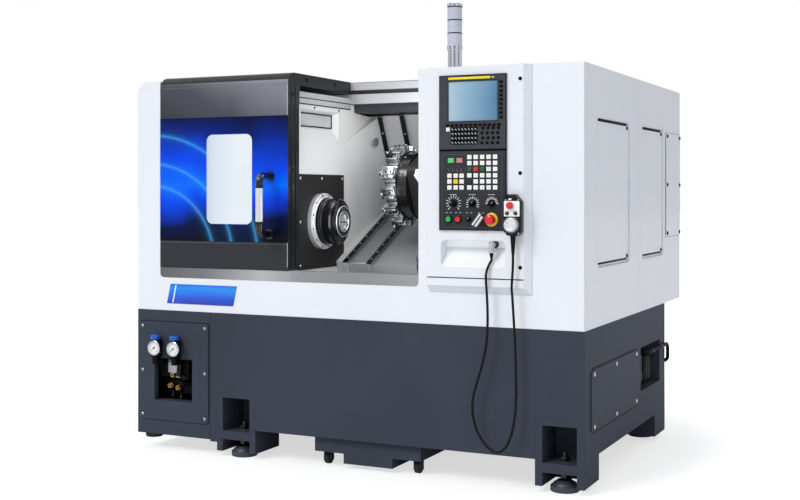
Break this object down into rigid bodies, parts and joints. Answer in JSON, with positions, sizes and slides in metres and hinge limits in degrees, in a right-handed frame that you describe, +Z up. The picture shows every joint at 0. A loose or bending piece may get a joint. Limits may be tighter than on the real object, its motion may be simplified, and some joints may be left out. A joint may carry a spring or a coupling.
{
  "type": "turning lathe",
  "caption": "Slant-bed turning lathe with a sliding front door, collet spindle, indexing tool turret, control console, hand pendant and pull-out coolant tank.",
  "frame": {"origin": "floor level, under the middle of the machine's bounding box", "axes": "+X to the operator's right along the spindle, +Y to the back, +Z up"},
  "size_m": [2.156, 1.764, 1.961],
  "materials": {
    "white_paint": "satin powder coat",
    "dark_paint": "satin powder coat",
    "liner_paint": "satin powder coat",
    "door_paint": "satin powder coat",
    "blue_panel": "gloss printed film",
    "pane": "clear",
    "black_plastic": "fine texture",
    "panel_plastic": "fine texture",
    "steel": "brushed",
    "stainless": "brushed",
    "cast": "painted casting",
    "chrome": "polished",
    "rubber": "matt",
    "aluminium": "machined",
    "lens": "clear",
    "red_plastic": "gloss",
    "green_plastic": "gloss",
    "screen": "gloss"
  },
  "bodies": {
    "machine": {"bed_base": "dark_paint", "rear_base": "dark_paint", "base_legs": "dark_paint", "service_cabinet": "dark_paint", "base_covers": "dark_paint", "air_manifold": "aluminium", "pressure_gauges": "chrome", "levelling_feet": "steel", "lube_unit": "black_plastic", "slant_bed": "cast", "headstock": "cast", "spindle_cap": "steel", "spindle_motor": "cast", "drive_belt": "rubber", "headstock_wall": "liner_paint", "headstock_plate": "door_paint", "work_lamp": "lens", "chamber_liner": "liner_paint", "headstock_cover": "white_paint", "sill_strip": "stainless", "door_track": "white_paint", "front_panel": "white_paint", "side_panels": "white_paint", "rear_panel": "white_paint", "roof_panel": "white_paint", "access_panels": "white_paint", "cover_screws": "steel", "control_cabinet": "white_paint", "lcd_unit": "panel_plastic", "lcd_screen": "screen", "operator_panel": "panel_plastic", "signal_tower": "chrome", "signal_lenses": "lens", "pendant_body": "black_plastic", "cord_connector": "aluminium", "pendant_cord": "rubber"},
    "door": {"door_frame": "door_paint", "door_panel": "blue_panel", "door_window": "pane", "door_handle": "black_plastic"},
    "spindle_unit": {"spindle": "steel", "collet_chuck": "steel"},
    "motor_drive": {"motor_pulley": "steel"},
    "carriage_unit": {"carriage": "cast", "carriage_cover": "stainless"},
    "middle_cover": {"way_cover_middle": "stainless"},
    "cross_unit": {"turret_housing": "white_paint"},
    "turret": {"turret_disc": "steel", "tool_holders": "steel"},
    "tank": {"coolant_tank": "dark_paint"},
    "front_wheels": {"caster_wheels_front": "black_plastic"},
    "rear_wheels": {"caster_wheels_rear": "black_plastic"},
    "stop_button": {"emergency_stop": "red_plastic"},
    "start": {"start_button": "green_plastic"},
    "hold": {"hold_button": "red_plastic"},
    "feed_dial": {"feed_knob": "black_plastic"},
    "spindle_dial": {"spindle_knob": "black_plastic"},
    "rapid_dial": {"rapid_knob": "black_plastic"},
    "mode_dial": {"mode_knob": "black_plastic"},
    "handwheel": {"pendant_wheel": "aluminium"}
  },
  "joints": [
    {"name": "door_slide", "type": "slide", "parent": "machine", "child": "door", "axis": [1, 0, 0], "range_m": [0, 0.617]},
    {"name": "spindle_spin", "type": "hinge", "parent": "machine", "child": "spindle_unit", "pos_m": [-0.4, -0.468, 1.04], "axis": [1, 0, 0], "continuous": true},
    {"name": "motor_spin", "type": "hinge", "parent": "machine", "child": "motor_drive", "pos_m": [-0.715, -0.088, 0.8], "axis": [1, 0, 0], "continuous": true},
    {"name": "carriage_slide", "type": "slide", "parent": "machine", "child": "carriage_unit", "axis": [1, 0, 0], "range_m": [-0.08, 0.2]},
    {"name": "cover_slide", "type": "slide", "parent": "machine", "child": "middle_cover", "axis": [1, 0, 0], "range_m": [-0.04, 0.1]},
    {"name": "cross_slide", "type": "slide", "parent": "carriage_unit", "child": "cross_unit", "axis": [0, 0.8988, 0.4384], "range_m": [-0.15, 0.01]},
    {"name": "turret_index", "type": "hinge", "parent": "cross_unit", "child": "turret", "pos_m": [0.017, -0.13365, 1.20307], "axis": [1, 0, 0], "continuous": true},
    {"name": "tank_slide", "type": "slide", "parent": "machine", "child": "tank", "axis": [0, -1, 0], "range_m": [0, 0.6]},
    {"name": "front_wheels_roll", "type": "hinge", "parent": "tank", "child": "front_wheels", "pos_m": [0.1055, -0.688, 0.028], "axis": [1, 0, 0], "continuous": true},
    {"name": "rear_wheels_roll", "type": "hinge", "parent": "tank", "child": "rear_wheels", "pos_m": [0.1055, 0.402, 0.028], "axis": [1, 0, 0], "continuous": true},
    {"name": "stop_push", "type": "slide", "parent": "machine", "child": "stop_button", "axis": [0, 1, 0], "range_m": [0, 0.0045], "stiffness_N_per_m": 1500},
    {"name": "start_push", "type": "slide", "parent": "machine", "child": "start", "axis": [0, 1, 0], "range_m": [0, 0.003], "stiffness_N_per_m": 800},
    {"name": "hold_push", "type": "slide", "parent": "machine", "child": "hold", "axis": [0, 1, 0], "range_m": [0, 0.003], "stiffness_N_per_m": 800},
    {"name": "feed_turn", "type": "hinge", "parent": "machine", "child": "feed_dial", "pos_m": [0.53114, -0.825, 1.12744], "axis": [0, -1, 0], "range_deg": [-150, 150]},
    {"name": "spindle_turn", "type": "hinge", "parent": "machine", "child": "spindle_dial", "pos_m": [0.61294, -0.825, 1.12744], "axis": [0, -1, 0], "range_deg": [-90, 90]},
    {"name": "rapid_turn", "type": "hinge", "parent": "machine", "child": "rapid_dial", "pos_m": [0.69473, -0.825, 1.12744], "axis": [0, -1, 0], "range_deg": [-60, 60]},
    {"name": "mode_turn", "type": "hinge", "parent": "machine", "child": "mode_dial", "pos_m": [0.59801, -0.824, 1.06424], "axis": [0, -1, 0], "range_deg": [-45, 45]},
    {"name": "handwheel_spin", "type": "hinge", "parent": "machine", "child": "handwheel", "pos_m": [0.79, -0.863, 1.045], "axis": [0, -1, 0], "continuous": true}
  ],
  "couplings": [
    {"joint": "motor_spin", "follows": "spindle_spin", "ratio": 1.375},
    {"joint": "cover_slide", "follows": "carriage_slide", "ratio": 0.5}
  ]
}
